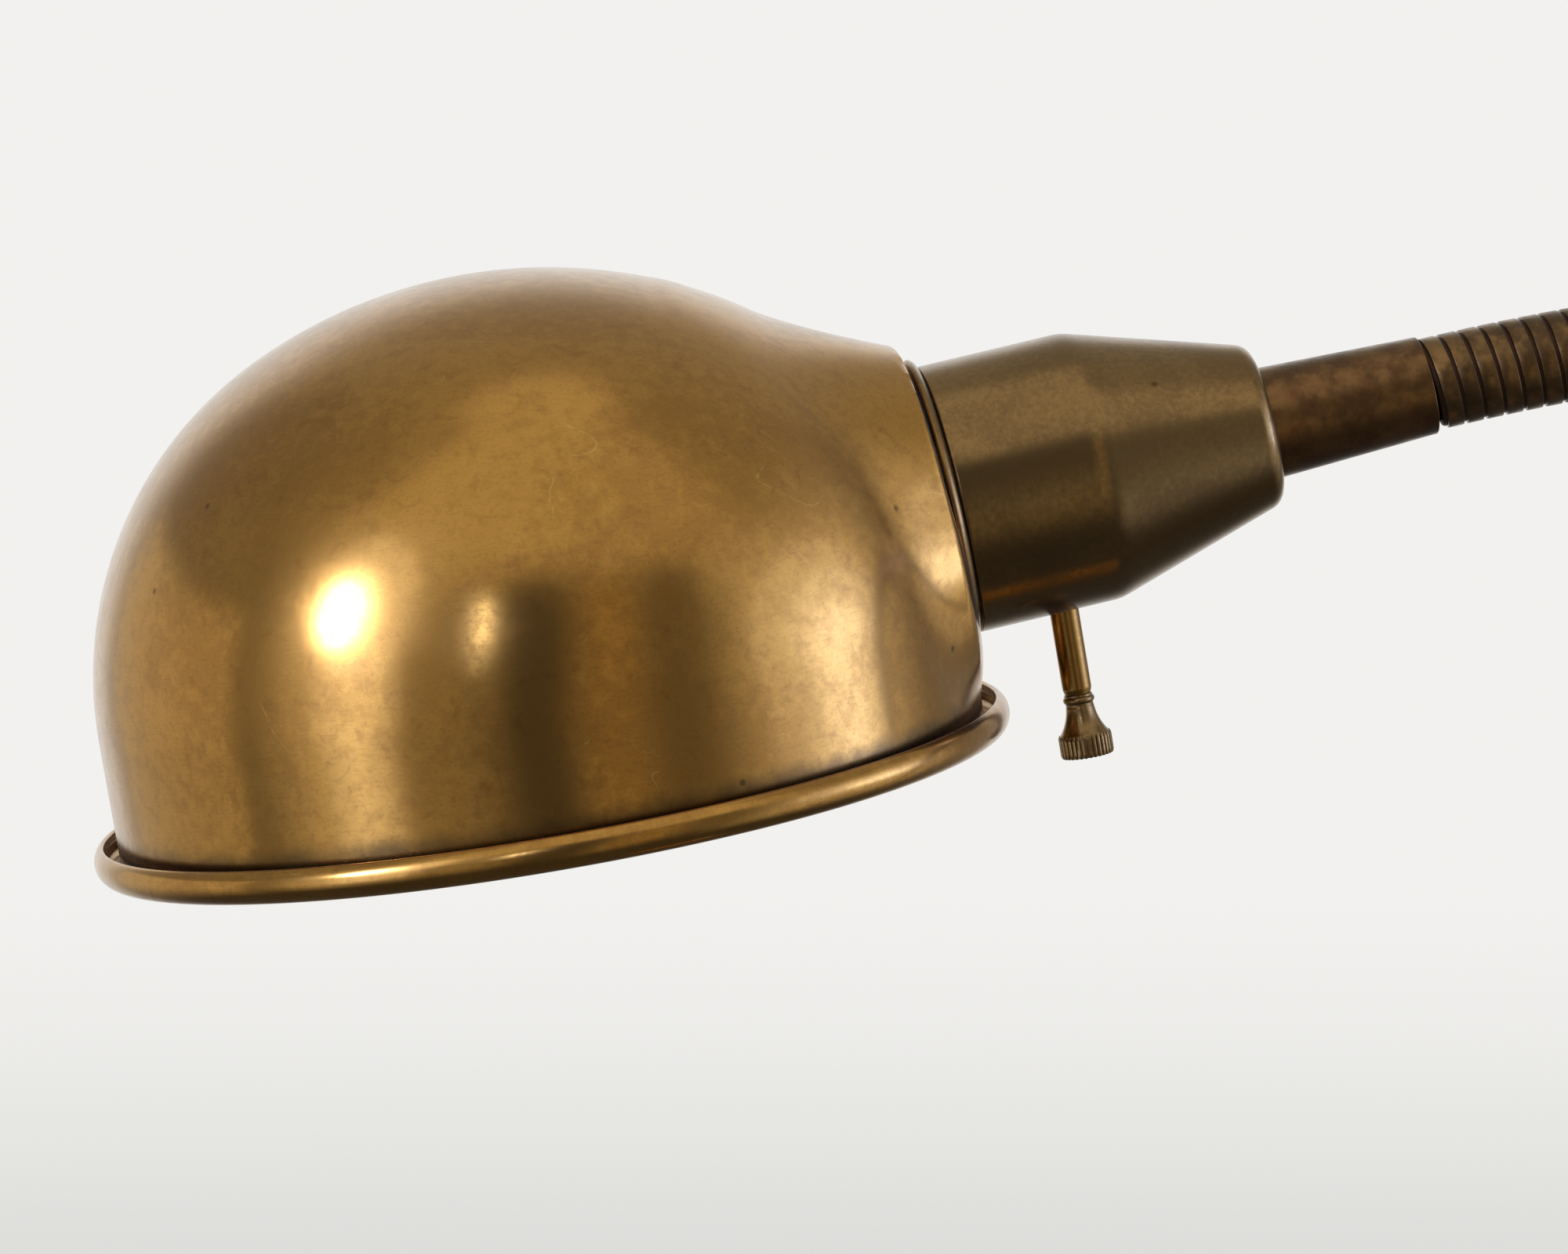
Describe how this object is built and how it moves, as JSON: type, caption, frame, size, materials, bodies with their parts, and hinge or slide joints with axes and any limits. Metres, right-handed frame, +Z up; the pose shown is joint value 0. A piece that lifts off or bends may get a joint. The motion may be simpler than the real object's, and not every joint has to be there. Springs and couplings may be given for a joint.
{
  "type": "adjustable floor lamp",
  "caption": "Floor lamp with a weighted round base, telescoping pole, swivelling gooseneck arm and a domed metal shade on a rotary-switch socket.",
  "frame": {"origin": "centre of the base where it stands on the floor", "axes": "+Z up along the pole, -X towards the lamp head at rest, Y across; the arm lies in the XZ plane"},
  "size_m": [0.6972, 0.254, 1.1864],
  "materials": {
    "aged_brass": "satin",
    "dark_bronze": "satin",
    "ferrule_bronze": "satin",
    "gooseneck_strip": "satin",
    "pole_brass": "satin",
    "bright_brass": "gloss",
    "zinc_steel": "satin",
    "cast_iron": "matte",
    "felt": "matte",
    "nylon": "satin",
    "black_plastic": "satin",
    "liner_fibre": "matte",
    "phenolic": "satin",
    "frosted_glass": "satin",
    "aluminium": "satin"
  },
  "bodies": {
    "stand": {"base_felt": "felt", "base_cover": "pole_brass", "base_weight": "cast_iron", "base_washer": "zinc_steel", "base_nut": "zinc_steel", "base_stud": "zinc_steel", "cord_bushing": "black_plastic", "pole_foot": "aged_brass", "pole_plug": "zinc_steel", "outer_tube": "pole_brass", "pole_clamp": "aged_brass", "clamp_pad": "nylon"},
    "thumb_screw": {"clamp_screw": "zinc_steel", "clamp_wheel": "aged_brass"},
    "mast": {"inner_tube": "pole_brass", "slider_bush": "nylon", "swivel_cap": "aged_brass", "swivel_washer": "nylon"},
    "arm_root": {"swivel_nut": "zinc_steel", "swivel_stud": "zinc_steel", "lower_ferrule": "ferrule_bronze", "gooseneck_01": "gooseneck_strip"},
    "arm_02": {"gooseneck_02": "gooseneck_strip"},
    "arm_03": {"gooseneck_03": "gooseneck_strip"},
    "arm_04": {"gooseneck_04": "gooseneck_strip"},
    "arm_05": {"gooseneck_05": "gooseneck_strip"},
    "arm_06": {"gooseneck_06": "gooseneck_strip"},
    "arm_07": {"gooseneck_07": "gooseneck_strip"},
    "arm_08": {"gooseneck_08": "gooseneck_strip"},
    "arm_09": {"gooseneck_09": "gooseneck_strip"},
    "head": {"gooseneck_10": "gooseneck_strip", "upper_ferrule": "ferrule_bronze", "socket_cup": "dark_bronze", "socket_locknut": "zinc_steel", "shade": "aged_brass", "shade_ring": "dark_bronze", "shade_ring_nut": "zinc_steel", "screw_shell": "bright_brass", "fibre_liner": "liner_fibre", "switch_block": "phenolic", "terminal_screws": "bright_brass", "centre_contact": "bright_brass", "socket_cap": "bright_brass", "socket_nipple": "zinc_steel", "bulb_glass": "frosted_glass", "bulb_cap": "aluminium"},
    "switch": {"switch_rotor": "phenolic", "switch_stem": "aged_brass", "switch_knob": "dark_bronze"}
  },
  "joints": [
    {"name": "clamp_turn", "type": "hinge", "parent": "stand", "child": "thumb_screw", "pos_m": [0.033, 0, 0.80665], "axis": [1, 0, 0], "range_deg": [0, 300]},
    {"name": "mast_slide", "type": "slide", "parent": "stand", "child": "mast", "axis": [0, 0, 1], "range_m": [-0.138, 0.16]},
    {"name": "arm_swivel", "type": "hinge", "parent": "mast", "child": "arm_root", "pos_m": [0, 0, 0.974], "axis": [0, 0, 1], "range_deg": [-170, 170]},
    {"name": "neck_bend_1", "type": "hinge", "parent": "arm_root", "child": "arm_02", "pos_m": [-0.00571, 0, 1.04695], "axis": [0, -1, 0], "range_deg": [-20, 16]},
    {"name": "neck_side_2", "type": "hinge", "parent": "arm_02", "child": "arm_03", "pos_m": [-0.02194, 0, 1.08338], "axis": [0.8521, 0, 0.5234], "range_deg": [-15, 15]},
    {"name": "neck_bend_3", "type": "hinge", "parent": "arm_03", "child": "arm_04", "pos_m": [-0.04674, 0, 1.11465], "axis": [0, -1, 0], "range_deg": [-20, 16]},
    {"name": "neck_side_4", "type": "hinge", "parent": "arm_04", "child": "arm_05", "pos_m": [-0.07796, 0, 1.13952], "axis": [0.5353, 0, 0.8447], "range_deg": [-15, 15]},
    {"name": "neck_bend_5", "type": "hinge", "parent": "arm_05", "child": "arm_06", "pos_m": [-0.11359, 0, 1.15758], "axis": [0, -1, 0], "range_deg": [-20, 16]},
    {"name": "neck_side_6", "type": "hinge", "parent": "arm_06", "child": "arm_07", "pos_m": [-0.15188, 0, 1.16898], "axis": [0.2041, 0, 0.9789], "range_deg": [-15, 15]},
    {"name": "neck_bend_7", "type": "hinge", "parent": "arm_07", "child": "arm_08", "pos_m": [-0.19149, 0, 1.1743], "axis": [0, -1, 0], "range_deg": [-20, 16]},
    {"name": "neck_side_8", "type": "hinge", "parent": "arm_08", "child": "arm_09", "pos_m": [-0.23147, 0, 1.17438], "axis": [-0.058, 0, 0.9983], "range_deg": [-15, 15]},
    {"name": "neck_bend_9", "type": "hinge", "parent": "arm_09", "child": "head", "pos_m": [-0.27123, 0, 1.17015], "axis": [0, -1, 0], "range_deg": [-20, 16]},
    {"name": "switch_turn", "type": "hinge", "parent": "head", "child": "switch", "pos_m": [-0.38545, 0, 1.14538], "axis": [0.1675, 0, -0.9859], "continuous": true}
  ]
}
